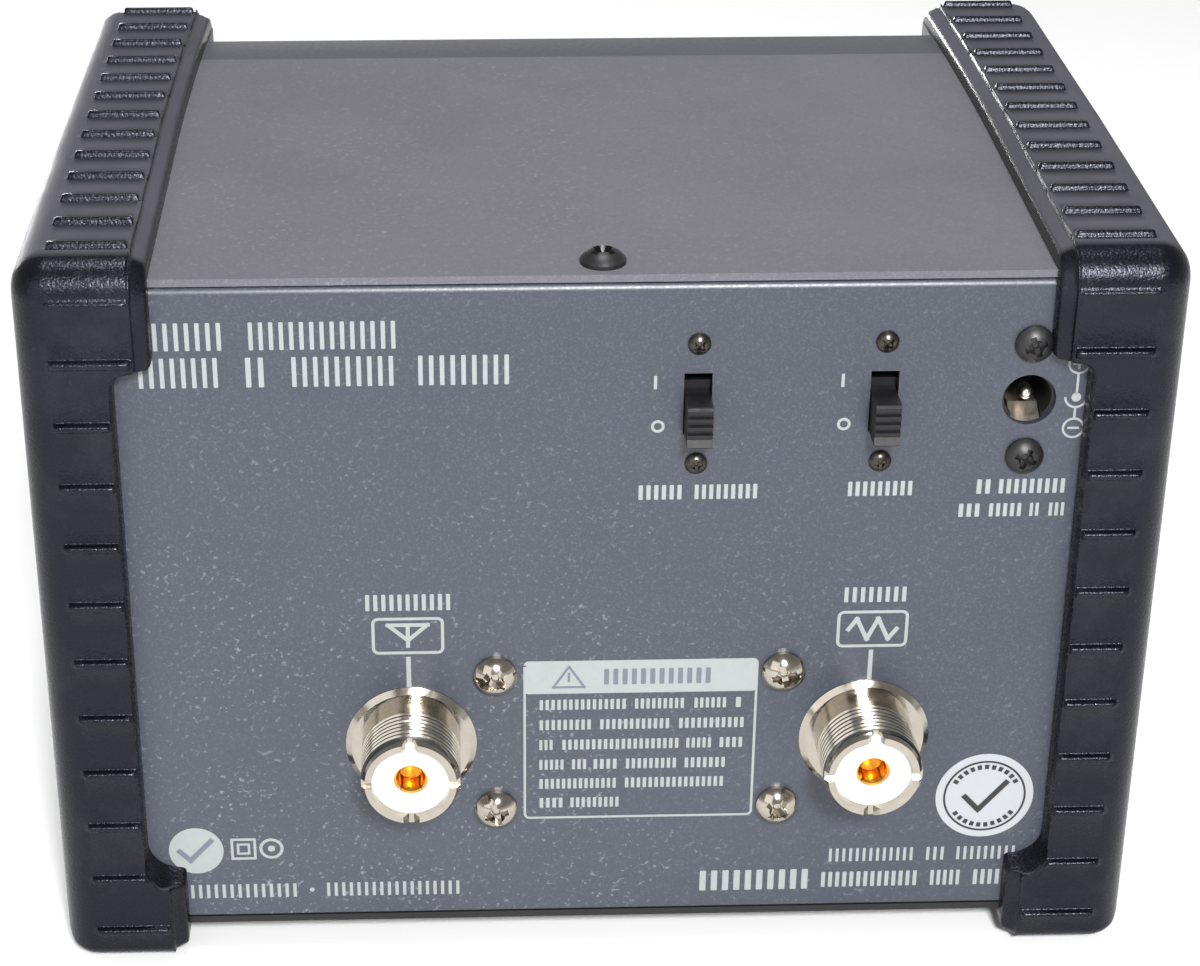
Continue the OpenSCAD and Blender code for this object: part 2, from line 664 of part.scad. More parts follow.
// A clear or opaque front plate with a rim, filling the bezel's opening from z0 to z1.
module dial_front(z0, z1, corner_r) {
    w = dial_w - 0.2;
    rear = front_y + bezel_wall;
    difference() {
        union() {
            along_y(front_y - 2, rear + 1.25) intersection() {
                translate([0, (dial_bottom + dial_top) / 2])
                    rounded_rect(w, dial_top - dial_bottom - 0.2, corner_r);
                translate([-w / 2 - 1, z0]) square([w + 2, z1 - z0]);
            }
            block([-w / 2 - 2, rear, z0 == dial_bottom ? dial_bottom - 1.8 : z0],
                [w / 2 + 2, rear + 1.25, z1 == dial_top ? dial_top + 1.8 : z1]);
        }
        block([-w / 2 + 1.8, front_y - 0.2, z0 + (z0 > dial_bottom ? -1 : 1.8)],
            [w / 2 - 1.8, rear + 3, z1 - (z1 < dial_top ? -1 : 1.8)]);
    }
}

module meter_window() {
    color("#dfe8ee", 0.35) dial_front(mask_top, dial_top, 2.9);
}

zero_x = pivot_half;
zero_z = 42.5;

module meter_mask() {
    color("#101012") difference() {
        dial_front(dial_bottom, mask_top - 0.05, 2.9);
        for (s = [-1, 1]) rod_y(s * zero_x, zero_z, 3.05, front_y - 3, front_y + 1);
    }
}

module zero_screw(x) {
    color("#2a2a2c") difference() {
        rod_y(x, zero_z, 3, front_y - 2.3, front_y + 1.2);
        block([x - 2.4, front_y - 3, zero_z - 0.4], [x + 2.4, front_y - 1.3, zero_z + 0.4]);
    }
}

module forward_zero_screw() { zero_screw(zero_x); }
module reflected_zero_screw() { zero_screw(-zero_x); }

module scale_plate() {
    color("#f1efe6") difference() {
        block([-dial_w / 2 - 0.5, plate_y, dial_bottom - 0.3], [dial_w / 2 + 0.5, plate_y + 0.8, dial_top + 0.3]);
        for (s = [-1, 1]) rod_y(s * pivot_half, pivot_z, 2, plate_y - 1, plate_y + 2);
    }
}

coil_y0 = front_y + 12.4;
coil_y1 = front_y + 27.4;
yoke_r0 = 6.6;
yoke_r1 = 8.2;

// A pointer whose pivot is at the origin of (X, Z), pointing along +X and balanced by its tail.
module pointer(y) {
    tail = 6.5;
    color("#141414") {
        along_y(y - 0.25, y + 0.25) polygon([[0, -0.7], [pointer_l - 3, -0.3], [pointer_l, 0], [pointer_l - 3, 0.3],
            [0, 0.7], [-tail, 0.5], [-tail, -0.5]]);
        rod_y(0, 0, 1.7, y - 0.5, y + 0.5);
        rod_y(-tail, 0, 1.2, y - 0.75, y + 0.75);
        rod_y(0, 0, 0.5, y, coil_y0 + tiny);
    }
}

// The moving coil of the meter, with its rear pivot.
module coil() {
    r0 = 5;
    r1 = 6.1;
    color("#b5652b") {
        difference() {
            block([-r1, coil_y0, -1], [r1, coil_y1, 1]);
            block([-r0, coil_y0 + 1, -2], [r0, coil_y1 - 1, 2]);
        }
        rod_y(0, 0, 0.5, coil_y1 - tiny, coil_y1 + 2);
    }
}

// The cylindrical magnet that the coil turns round, with the strap that holds it in the yoke.
module magnet() {
    color("#6e7074") {
        rod_y(0, 0, 4.2, coil_y0 + 1.6, coil_y1 - 1.6);
        intersection() {
            block([-1.2, coil_y0 + 5, -8], [1.2, coil_y1 - 5, 8]);
            rod_y(0, 0, yoke_r0, coil_y0 + 4, coil_y1 - 4);
        }
    }
}

// The soft-iron ring round the coil, with the two bearing bridges.
module yoke() {
    bridge = 1.5;
    end = 8;
    color("#9a9ca0") difference() {
        union() {
            difference() {
                rod_y(0, 0, yoke_r1, coil_y0 + 0.6, coil_y1 - 0.6);
                rod_y(0, 0, yoke_r0, coil_y0, coil_y1);
            }
            for (s = [-1, 1]) block([-bridge, coil_y0 - 1.4, s * (end - 0.6) - 0.6],
                [bridge, front_y + 32.5, s * (end - 0.6) + 0.6]);
            block([-bridge, coil_y0 - 1.4, -end], [bridge, coil_y0 - 0.6, end]);
            block([-bridge, coil_y1 + 0.6, -end], [bridge, coil_y1 + 1.6, end]);
        }
        rod_y(0, 0, 0.56, coil_y0 - 3, coil_y1 + 3);
    }
}

// The forward pivot is on the right and points left; the reflected pivot mirrors it.
module forward_side() { translate([pivot_half, 0, pivot_z]) children(); }
module reflected_side() { mirror([1, 0, 0]) forward_side() children(); }

module needle(y) { rotate([0, 180 + pointer_rest, 0]) pointer(y); }
module resting_coil() { rotate([0, -pointer_swing / 2, 0]) coil(); }

module forward_needle() { forward_side() needle(front_y + 6); }
module forward_coil() { forward_side() resting_coil(); }
module forward_magnet() { forward_side() magnet(); }
module forward_yoke() { forward_side() yoke(); }
module reflected_needle() { reflected_side() needle(front_y + 8); }
module reflected_coil() { reflected_side() resting_coil(); }
module reflected_magnet() { reflected_side() magnet(); }
module reflected_yoke() { reflected_side() yoke(); }

module meter_lamps() {
    y = front_y + 31.3;
    z = 102;
    color("#2f6b3f") block([-48, y, z - 5], [48, y + 1.2, z + 5]);
    for (s = [-1, 1]) {
        color("#c9b26b") rod_y(s * 32, z, 2.4, y - 4, y + tiny);
        color("#fff3cf") rod_y(s * 32, z, 2.1, y - 8, y - 4 + tiny);
        color("#fff3cf") translate([s * 32, y - 8, z]) sphere(2.1);
    }
}

// ---- front controls ----

module range_knob() {
    r = knob_d / 2;
    y0 = front_y - knob_reach;
    y1 = front_y - 0.8;
    flutes = 24;
    color("#151517") difference() {
        union() {
            rod_y(knob_x, front_control_z, r - 0.6, y0 + 0.6, y1);
            rod_y(knob_x, front_control_z, r - 1.2, y0, y1);
            rod_y(knob_x, front_control_z, r, y1 - 3, y1);
        }
        for (i = [0 : flutes - 1]) translate([knob_x, 0, front_control_z]) rotate([0, i * 360 / flutes, 0])
            rod_y(r - 0.1, 0, 0.6, y0 - 1, y1 - 3.6);
        rod_y(knob_x, front_control_z, 3, y0 + 2, y1 + 1);
        rod_y(knob_x, front_control_z, 6.2, y1 - 3, y1 + 1);
        block([knob_x - 0.45, y0 - 1, front_control_z + 2], [knob_x + 0.45, y0 + 0.5, front_control_z + r + 1]);
    }
}

module range_shaft() {
    color("#c9c6be") rod_y(knob_x, front_control_z, 3, front_y - knob_reach + 2.2, front_y + 12);
}

module range_switch_body() {
    y0 = front_y + bezel_wall;
    color("#8d8f92") difference() {
        union() {
            rod_y(knob_x, front_control_z, 3.5, front_y - 2.6, y0 + tiny);
            rod_y(knob_x, front_control_z, 10.5, y0, y0 + 13);
            for (i = [0 : 5]) translate([knob_x, 0, front_control_z]) rotate([0, 30 + i * 60, 0])
                block([7, y0 + 13 - tiny, -0.7], [7.6, y0 + 23, 0.7]);
        }
        rod_y(knob_x, front_control_z, 3.05, front_y - 3, front_y + 12.3);
    }
}

module range_nut() {
    color("#b9b6ae") difference() {
        translate([knob_x, front_y - 2, front_control_z]) rotate([-90, 0, 0]) cylinder(h = 2, r = 5.6, $fn = 6);
        rod_y(knob_x, front_control_z, 3.52, front_y - 3, front_y + 1);
    }
}

module mode_button() {
    reach = 4;
    color("#1a1a1c") {
        along_y(front_y - reach, front_y + 6) translate([button_x, front_control_z]) rounded_rect(12, 7, 1);
        block([button_x - 1.5, front_y + 6 - tiny, front_control_z - 1.5],
            [button_x + 1.5, front_y + 13, front_control_z + 1.5]);
    }
}

module mode_switch_body() {
    color("#d8d6cf") difference() {
        block([button_x - 4.2, front_y + 10, front_control_z - 4.2], [button_x + 4.2, front_y + 24, front_control_z + 4.2]);
        block([button_x - 1.8, front_y + 9, front_control_z - 1.8], [button_x + 1.8, front_y + 16, front_control_z + 1.8]);
    }
}

module control_board() {
    y = front_y + 24;
    color("#2f6b3f") difference() {
        block([-54, y, base_z + 5], [54, y + 1.6, dial_bottom - 3]);
        for (i = [0 : 5]) translate([knob_x, 0, front_control_z]) rotate([0, 30 + i * 60, 0])
            rod_y(7.3, 0, 1, y - 1, y + 3);
    }
}

// ---- main board ----

standoff_x = 62;
board_y0 = front_y + 38;
board_y1 = rear_y - 15;
function standoff_ys() = [board_y0 + 5, board_y1 - 5];

module main_board() {
    color("#2f6b3f") difference() {
        block([-68, board_y0, board_z], [68, board_y1, board_z + 1.6]);
        for (s = [-1, 1], y = standoff_ys()) translate([s * standoff_x, y, board_z - 1]) cylinder(h = 4, r = 1.6);
    }
}

module board_standoffs() {
    color("#b9a25c") for (s = [-1, 1], y = standoff_ys()) translate([s * standoff_x, y, 0]) {
        translate([0, 0, base_z + sheet]) cylinder(h = board_z - base_z - sheet, r = 3, $fn = 6);
        translate([0, 0, base_z + 0.1]) cylinder(h = board_z + 4 - base_z, r = 1.45);
        translate([0, 0, board_z + 1.6]) cylinder(h = 2, r = 2.6, $fn = 6);
    }
}

module board_components() {
    z = board_z + 1.6;
    for (x = [-30, 0, 30]) color("#1a1a1c") block([x - 5, board_y0 + 9, z], [x + 5, board_y0 + 15.4, z + 3.6]);
    for (x = [-46, -15, 15]) color("#22304f") translate([x, board_y0 + 24, z]) cylinder(h = 11, r = 4);
    for (x = [34, 44, 54]) color("#2f5fa8") block([x - 3, board_y0 + 22, z], [x + 3, board_y0 + 28, z + 4.5]);
    for (x = [-40 : 16 : 40]) color("#c7ab7a") translate([x - 4, board_y0 + 36, z + 1.2]) rotate([0, 90, 0])
        cylinder(h = 8, r = 1.2);
}

module signal_leads() {
    r = 0.9;
    color("#8a2f2f") for (s = [-1, 1]) {
        x = socket_mid_x + 12 * s;
        lead([[x, coupler_back + 10, socket_z], [x, coupler_back - 5, socket_z], [x, coupler_back - 5, board_z + 1.6]], r);
    }
}

top_cover();
rear_panel();
bottom_plate();
front_bezel();
left_bumper();
right_bumper();
cover_rear_screw();
bottom_screws();
side_screws();
output_socket_shell();
output_socket_insulator();
output_socket_contact();
input_socket_shell();
input_socket_insulator();
input_socket_contact();
coupler_housing();
coupler_cover();
coupler_screws();
coupler_cover_screws();
through_line();
toroid_core();
toroid_winding();
coupler_board();
coupler_trimmers();
hold_switch_body();
hold_slider();
light_switch_body();
light_slider();
slide_switch_screws();
dc_jack_body();
dc_jack_pin();
dc_jack_spring();
dc_jack_screws();
inspection_sticker();
meter_case();
meter_window();
meter_mask();
scale_plate();
forward_needle();
forward_coil();
forward_magnet();
forward_yoke();
reflected_needle();
reflected_coil();
reflected_magnet();
reflected_yoke();
forward_zero_screw();
reflected_zero_screw();
meter_lamps();
range_knob();
range_shaft();
range_switch_body();
range_nut();
mode_button();
mode_switch_body();
control_board();
main_board();
board_standoffs();
board_components();
signal_leads();
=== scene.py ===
"""The looks of a bench cross-needle meter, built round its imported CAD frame."""
import json
import math
import random

import bpy
from mathutils import Matrix, Vector


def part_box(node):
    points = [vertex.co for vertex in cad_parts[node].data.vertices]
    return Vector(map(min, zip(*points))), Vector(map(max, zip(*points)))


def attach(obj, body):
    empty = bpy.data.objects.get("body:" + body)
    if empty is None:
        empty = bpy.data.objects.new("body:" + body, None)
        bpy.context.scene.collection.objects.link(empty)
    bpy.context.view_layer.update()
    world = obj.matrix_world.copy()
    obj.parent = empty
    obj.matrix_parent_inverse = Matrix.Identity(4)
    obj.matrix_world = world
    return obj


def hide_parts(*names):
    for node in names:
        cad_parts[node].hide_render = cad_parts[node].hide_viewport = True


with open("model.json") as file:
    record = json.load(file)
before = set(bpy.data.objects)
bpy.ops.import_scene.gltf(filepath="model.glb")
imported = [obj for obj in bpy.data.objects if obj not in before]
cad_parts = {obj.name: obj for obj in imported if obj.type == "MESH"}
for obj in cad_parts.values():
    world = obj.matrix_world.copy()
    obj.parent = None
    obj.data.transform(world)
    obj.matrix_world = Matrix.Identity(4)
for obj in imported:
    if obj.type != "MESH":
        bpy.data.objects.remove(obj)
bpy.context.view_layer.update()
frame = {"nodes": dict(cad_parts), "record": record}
NODES = frame["nodes"]
MM = 0.001


def box_mm(node):
    lo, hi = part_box(node)
    return [v / MM for v in lo], [v / MM for v in hi]


REAR_Y = box_mm("rear_panel")[1][1]
PANEL_Z = box_mm("rear_panel")[0][2]
FRONT_Y = box_mm("front_bezel")[0][1]
BASE = "meter"


# ---------------------------------------------------------------- materials

def srgb(r, g, b):
    return tuple(((c / 255) / 12.92 if c / 255 <= 0.04045 else ((c / 255 + 0.055) / 1.055) ** 2.4)
                 for c in (r, g, b)) + (1.0,)


class Mat:
    """A small wrapper that wires a Principled material."""

    def __init__(self, name, color, rough=0.5, metallic=0.0, **sockets):
        self.m = bpy.data.materials.new(name)
        self.m.use_nodes = True
        self.n = self.m.node_tree.nodes
        self.l = self.m.node_tree.links
        self.b = self.n["Principled BSDF"]
        self.b.inputs["Base Color"].default_value = color
        self.b.inputs["Roughness"].default_value = rough
        self.b.inputs["Metallic"].default_value = metallic
        for k, v in sockets.items():
            self.b.inputs[k.replace("_", " ")].default_value = v

    def node(self, kind, **kw):
        n = self.n.new("ShaderNode" + kind)
        for k, v in kw.items():
            setattr(n, k, v)
        return n

    def coord(self, scale=(1, 1, 1), rot=(0, 0, 0)):
        t = self.node("TexCoord")
        p = self.node("Mapping")
        p.inputs["Scale"].default_value = scale
        p.inputs["Rotation"].default_value = rot
        self.l.new(t.outputs["Object"], p.inputs["Vector"])
        return p.outputs["Vector"]

    def noise(self, scale, detail=2.0, rough=0.5, distortion=0.0, vec=None):
        n = self.node("TexNoise")
        n.inputs["Scale"].default_value = scale
        n.inputs["Detail"].default_value = detail
        n.inputs["Roughness"].default_value = rough
        n.inputs["Distortion"].default_value = distortion
        self.l.new(vec if vec is not None else self.coord(), n.inputs["Vector"])
        return n.outputs["Fac"]

    def ramp(self, fac, *stops):
        n = self.node("ValToRGB")
        e = n.color_ramp.elements
        while len(e) < len(stops):
            e.new(0.5)
        for el, (pos, col) in zip(e, stops):
            el.position = pos
            el.color = col if isinstance(col, tuple) else (col, col, col, 1)
        self.l.new(fac, n.inputs["Fac"])
        return n.outputs["Color"]

    def mix(self, fac, a, b):
        n = self.node("Mix", data_type="RGBA")
        for sock, v in ((n.inputs[0], fac), (n.inputs[6], a), (n.inputs[7], b)):
            if isinstance(v, bpy.types.NodeSocket):
                self.l.new(v, sock)
            else:
                sock.default_value = v
        return n.outputs[2]

    def math(self, op, a, b):
        n = self.node("Math", operation=op)
        for sock, v in zip(n.inputs, (a, b)):
            if isinstance(v, bpy.types.NodeSocket):
                self.l.new(v, sock)
            else:
                sock.default_value = v
        return n.outputs[0]

    def bump(self, height, distance, strength):
        n = self.node("Bump")
        n.inputs["Strength"].default_value = strength
        n.inputs["Distance"].default_value = distance
        self.l.new(height, n.inputs["Height"])
        self.l.new(n.outputs["Normal"], self.b.inputs["Normal"])

    def color(self, sock):
        self.l.new(sock, self.b.inputs["Base Color"])

    def rough(self, sock):
        self.l.new(sock, self.b.inputs["Roughness"])


def painted(name, base, light, dark, glint_level, rough, painted_light_lift=0.0, spec=0.5):
    """Sprayed enamel on sheet steel: fine orange peel, with painted highlights as short light flecks that
    stand for glints of the orange peel, denser towards the foot, where painted light can also lighten the
    paint.
    """
    p = Mat(name, base, rough)
    p.b.inputs["Specular IOR Level"].default_value = spec
    cloud = p.noise(30, 3, 0.55)
    col = p.ramp(cloud, (0.3, dark), (0.7, base))
    fine = p.noise(2600, 2, 0.6)
    col = p.mix(p.ramp(fine, (0.5, 0.0), (0.85, 0.16)), col, light)
    glint_noise = p.noise(1150, 2.0, 0.6, 0.25, p.coord((1.0, 1.0, 1.15), (0, 0.6, 0)))
    xyz = p.node("SeparateXYZ")
    p.l.new(p.coord(), xyz.inputs[0])
    # painted light: the glints grow denser, and the paint is lightened, towards the foot and towards the +X
    # side
    low = p.ramp(p.math("MULTIPLY", xyz.outputs["Z"], 8.0), (0.0, 1.0), (0.45, 0.75), (0.85, 0.3))
    low = p.math("MULTIPLY", low, p.ramp(p.math("MULTIPLY", p.math("ADD", xyz.outputs["X"], 0.07), 7.0),
                                         (0.1, 0.4), (0.6, 1.0)))
    area = p.math("MULTIPLY", p.ramp(p.noise(75, 2, 0.5), (0.36, 0.35), (0.62, 1.0)), low)
    # painted highlights: short light flecks standing for glints of the orange peel
    glint_mask = p.ramp(glint_noise, (0.6, 0.0), (0.72, glint_level))
    col = p.mix(p.math("MULTIPLY", glint_mask, area), col, light)
    # painted light: the paint lightened towards the foot and the +X side
    col = p.mix(p.math("MULTIPLY", low, painted_light_lift), col, light)
    p.color(col)
    p.rough(p.ramp(fine, (0.3, rough - 0.05), (0.7, rough + 0.07)))
    p.bump(p.noise(1500, 2, 0.5), 0.00002, 0.7)
    return p.m


def rubber(name, base, dusty):
    """Moulded elastomer: near black and glossy on its ribs, with a grey bloom on faces that look up."""
    p = Mat(name, base, 0.4)
    p.b.inputs["Specular IOR Level"].default_value = 0.28
    p.b.inputs["Specular Tint"].default_value = (0.8, 0.82, 1.0, 1)
    geo, sep = p.node("NewGeometry"), p.node("SeparateXYZ")
    p.l.new(geo.outputs["Normal"], sep.inputs[0])
    rib = p.node("Attribute", attribute_name="rib")
    side = p.math("ABSOLUTE", sep.outputs["Y"], 0.0)
    upward = p.math("MULTIPLY", p.ramp(sep.outputs["Z"], (0.4, 0.0), (0.9, 1.0)),
                    p.ramp(side, (0.05, 1.0), (0.3, 0.0)))
    bare = p.ramp(rib.outputs["Fac"], (0.12, 1.0), (0.4, 0.0))
    patch = p.noise(60, 4, 0.7)
    bloom = p.math("MULTIPLY", p.math("MULTIPLY", upward, bare), p.ramp(patch, (0.3, 0.75), (0.6, 1.0)))
    col = p.mix(p.ramp(patch, (0.5, 0.0), (0.8, 0.16)), base, dusty)
    col = p.mix(p.ramp(p.noise(900, 3, 0.7), (0.66, 0.0), (0.8, 0.25)), col, dusty)
    p.color(p.mix(bloom, col, dusty))
    grain = p.noise(2400, 2, 0.6)
    p.rough(p.mix(bloom, p.ramp(grain, (0.3, 0.2), (0.7, 0.33)), (0.75, 0.75, 0.75, 1)))
    p.bump(grain, 0.00008, 0.9)
    return p.m


def plain(name, color, rough, metallic=0.0, grain=900, bump=0.00001, var=0.12, **sockets):
    p = Mat(name, color, rough, metallic, **sockets)
    n = p.noise(grain, 3, 0.6)
    dark = tuple(c * (1 - var) for c in color[:3]) + (1,)
    p.color(p.ramp(n, (0.3, dark), (0.7, color)))
    p.rough(p.ramp(n, (0.3, max(rough - 0.05, 0.02)), (0.7, rough + 0.06)))
    p.bump(n, bump, 0.5)
    return p.m


M = {
    # case_paint carries painted glints and painted light that lightens it towards the foot
    "case_paint": painted("case_paint", srgb(46, 51, 62), srgb(126, 129, 137), srgb(43, 48, 59), 0.75, 0.36,
                          painted_light_lift=0.07),
    "cover_paint": painted("cover_paint", srgb(91, 90, 96), srgb(158, 157, 162), srgb(86, 85, 91), 0.7, 0.5,
                           spec=0.25),
    # nearly black: the plate's own black, made darker so that its edge also stands in for the shade under the
    # panel's foot (painted shade)
    "bottom_paint": plain("bottom_paint", srgb(13, 13, 14), 0.6),
    "bezel_plastic": plain("bezel_plastic", srgb(70, 71, 77), 0.5, bump=0.00003),
    "bumper_rubber": rubber("bumper_rubber", srgb(6, 6, 11), srgb(68, 67, 74)),
    "black_steel": plain("black_steel", srgb(58, 57, 58), 0.42, 0.8),
    "dark_steel": plain("dark_steel", srgb(74, 70, 66), 0.3, 1.0),
    "nickel": plain("nickel", srgb(176, 169, 158), 0.13, 1.0, grain=500),
    "white_polymer": plain("white_polymer", srgb(214, 214, 211), 0.4, var=0.02),
    "gold_contact": plain("gold_contact", srgb(236, 164, 62), 0.22, 1.0),
    "die_cast": plain("die_cast", srgb(176, 178, 180), 0.5, 1.0),
    "copper": plain("copper", srgb(190, 110, 60), 0.3, 1.0),
    "silver_wire": plain("silver_wire", srgb(205, 205, 205), 0.25, 1.0),
    "ferrite": plain("ferrite", srgb(58, 58, 60), 0.6),
    "board_green": plain("board_green", srgb(42, 100, 60), 0.3),
    "trimmer": plain("trimmer", srgb(184, 134, 60), 0.35),
    "switch_black": plain("switch_black", srgb(20, 20, 22), 0.55),
    "slider_black": plain("slider_black", srgb(17, 17, 20), 0.45, Specular_IOR_Level=0.35),
    "jack_black": plain("jack_black", srgb(18, 18, 20), 0.5),
    "spring_metal": plain("spring_metal", srgb(232, 220, 208), 0.38, 1.0),
    "sticker_white": plain("sticker_white", srgb(152, 155, 159), 0.5, var=0.02),
    "meter_black": plain("meter_black", srgb(24, 24, 26), 0.5),
    "mask_black": plain("mask_black", srgb(18, 18, 20), 0.3),
    "dial_card": plain("dial_card", srgb(240, 238, 228), 0.6, var=0.02),
    "needle_black": plain("needle_black", srgb(18, 18, 18), 0.4),
    "magnet_grey": plain("magnet_grey", srgb(110, 112, 116), 0.5, 0.8),
    "yoke_iron": plain("yoke_iron", srgb(150, 152, 156), 0.4, 1.0),
    "lamp": plain("lamp", srgb(255, 243, 207), 0.3, var=0.03),
    "knob_black": plain("knob_black", srgb(22, 22, 24), 0.4),
    "plated_steel": plain("plated_steel", srgb(206, 202, 192), 0.25, 1.0),
    "switch_grey": plain("switch_grey", srgb(142, 144, 147), 0.45, 0.4),
    "switch_ivory": plain("switch_ivory", srgb(216, 214, 207), 0.45),
    "standoff_brass": plain("standoff_brass", srgb(188, 164, 96), 0.3, 1.0),
    "components": plain("components", srgb(28, 28, 30), 0.35),
    "lead_red": plain("lead_red", srgb(138, 47, 47), 0.45),
    "ink": plain("ink", srgb(139, 143, 143), 0.5, var=0.06),
    "ink_dark": plain("ink_dark", srgb(28, 28, 32), 0.5, var=0.05),
    "ink_red": plain("ink_red", srgb(186, 32, 28), 0.5, var=0.05),
    "ink_panel": plain("ink_panel", srgb(92, 97, 108), 0.5, var=0.05),
}
M["clear_window"] = Mat("clear_window", srgb(251, 252, 252), 0.03, Transmission_Weight=1.0, IOR=1.3).m

slots = {s["node"]: s["material_slot"] for s in frame["record"]["subparts"]}
for name, obj in NODES.items():
    obj.data.materials.clear()
    obj.data.materials.append(M[slots[name]])


# ---------------------------------------------------------------- helpers

def mesh_object(name, verts, faces, mat, smooth=True):
    """A visible piece of the meter's body, from points in mm in the shared frame."""
    me = bpy.data.meshes.new(name)
    me.from_pydata([(x * MM, y * MM, z * MM) for x, y, z in verts], [], faces)
    me.validate()
    ob = bpy.data.objects.new(name, me)
    bpy.context.scene.collection.objects.link(ob)
    me.materials.append(M[mat])
    if smooth:
        for p in me.polygons:
            p.use_smooth = True
    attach(ob, BASE)
    return ob


SHARP_ANGLE = 35               # edges sharper than this, in degrees, stay sharp


def smooth_cad(nodes):
    for ob in nodes:
        m = ob.modifiers.new("weld", "WELD")
        m.merge_threshold = 0.000002
        for p in ob.data.polygons:
            p.use_smooth = True
        s = ob.modifiers.new("edges", "EDGE_SPLIT")
        s.split_angle = math.radians(SHARP_ANGLE)


# ---------------------------------------------------------------- bumpers

BLO, BHI = box_mm("right_bumper")
GAP, PROUD = 1.0, 4.0          # how far the ribs stand over the rim, and the rim over the case
ROUND_X = 5.2                  # radius of the rim's outboard edge
TOP_R, LOW_R = 6.0, 2.2        # radii of the upper and the lower corners
NOTCH_LOW, NOTCH_TOP = 14.4, 107.5     # heights at which the notch in the inner edge begins and ends
NOTCH_LOW_R, NOTCH_TOP_R = 5.0, 2.4    # radii of its inner corners
EAR_R = 0.8                    # radius of its outer corners
STEP = 6.0                     # how far it goes outboard
BEVEL, BEVEL_LOSS = 2.35, 2.05         # width of the bevel on the lip, and how much of it the notch takes
TOE, FRONT_TOE = 0.92, 0.3     # how far the bumpers lean to the middle at the rear and out at the front
FRONT_TAPER = 1.2              # how far the inner edge comes back to the case at the front
OUTER_GAP = 0.36               # room that the lean needs inside the CAD box
ARC = 9                        # stations on each corner
Y0, Y1 = BLO[1] + GAP, BHI[1] - GAP
Z0, Z1 = BLO[2] + GAP, BHI[2] - GAP


def rib_centres():
    ys = [BLO[1] + 7.2 + i * (BHI[1] - BLO[1] - 15.4) / 12 for i in range(13)]
    zs = [6.6 + i * (BHI[2] - 13.2) / 11 for i in range(12)]
    return ys, zs


def rib_height(d):
    """Height of a rib's round section at a distance d from its middle line."""
    pts = ((0, 1.0), (0.25, 0.97), (0.45, 0.84), (0.6, 0.6), (0.7, 0.3), (0.78, 0.1), (0.95, 0.0))
    d = abs(d)
    for (a, ha), (b, hb) in zip(pts, pts[1:]):
        if d <= b:
            return ha + (hb - ha) * (d - a) / (b - a)
    return 0.0


RIB_D = (-0.95, -0.78, -0.7, -0.6, -0.45, -0.25, 0, 0.25, 0.45, 0.6, 0.7, 0.78, 0.95)


def bumper_stations():
    """Stations round the bumper's rim: (side, position along the side, rib height), going round once."""
    ys, zs = rib_centres()
    out = []

    def side(which, lo, hi, centres, extra, flip):
        pos = {round(lo, 3): 0.0, round(hi, 3): 0.0}
        for c in centres:
            for d in RIB_D:
                v = c + d
                if lo < v < hi:
                    pos[round(v, 3)] = rib_height(d)
        for v in extra:
            if lo < v < hi and not any(abs(v - c) < 1.05 for c in centres):
                pos[round(v, 3)] = 0.0
        seq = sorted(pos.items(), reverse=flip)
        out.extend((which, v, h) for v, h in seq)

    notch = []
    for z, s, h in ((NOTCH_LOW, 1, NOTCH_LOW_R), (NOTCH_TOP, -1, NOTCH_TOP_R)):
        notch += [z - s * EAR_R * (1 - math.sin(math.radians(a))) for a in (-20, 0, 22, 45, 67, 84)]
        notch += [z + s * h * (1 - math.cos(math.radians(a))) for a in range(0, 91, 9)] + [z + s * (h + 0.4)]
    side("rear", Z0 + LOW_R, Z1 - TOP_R, zs, notch, False)
    out.append(("c_rear_top", None, 0))
    side("top", Y0 + TOP_R, Y1 - TOP_R, ys, (), True)
    out.append(("c_top_front", None, 0))
    side("front", Z0 + LOW_R, Z1 - TOP_R, zs, notch, True)
    out.append(("c_front_bottom", None, 0))
    side("bottom", Y0 + LOW_R, Y1 - LOW_R, ys, (), False)
    out.append(("c_bottom_rear", None, 0))
    return out


def ends(lo, hi, r_lo, r_hi, inset):
    return lo + inset + max(r_lo - inset, 0.35), hi - inset - max(r_hi - inset, 0.35)


def station_point(kind, v, inset, turn):
    """(y, z) of a station on the rim, moved inwards by inset (outwards when negative)."""
    if kind in ("rear", "front"):
        a, b = ends(Z0, Z1, LOW_R, TOP_R, inset)
        z = a + (v - Z0 - LOW_R) * (b - a) / (Z1 - TOP_R - Z0 - LOW_R)
        return (Y1 - inset if kind == "rear" else Y0 + inset), z
    if kind in ("top", "bottom"):
        r0 = TOP_R if kind == "top" else LOW_R
        a, b = ends(Y0, Y1, r0, r0, inset)
        y = a + (v - Y0 - r0) * (b - a) / (Y1 - Y0 - 2 * r0)
        return y, (Z1 - inset if kind == "top" else Z0 + inset)
    start = {"c_rear_top": 0, "c_top_front": 90, "c_front_bottom": 180, "c_bottom_rear": 270}[kind]
    r = max((TOP_R if start in (0, 90) else LOW_R) - inset, 0.35)
    a = math.radians(start + 90 * turn)
    cy = (Y1 - inset - r) if start in (0, 270) else (Y0 + inset + r)
    cz = (Z1 - inset - r) if start in (0, 90) else (Z0 + inset + r)
    return cy + r * math.cos(a), cz + r * math.sin(a)


def notch_shift(kind, v):
    """How far the inner edge steps outboard at a place on the rear and front lips."""
    if kind not in ("rear", "front"):
        return 0.0
    depth, h = min((v - NOTCH_LOW, NOTCH_LOW_R), (NOTCH_TOP - v, NOTCH_TOP_R))
    if depth < -EAR_R:
        return 0.0
    if depth < 0:
        return EAR_R * (1 - math.sqrt(1 - ((depth + EAR_R) / EAR_R) ** 2))
    t = min(depth / h, 1.0)
    return EAR_R + (STEP - EAR_R) * math.sqrt(1 - (1 - t) ** 2)


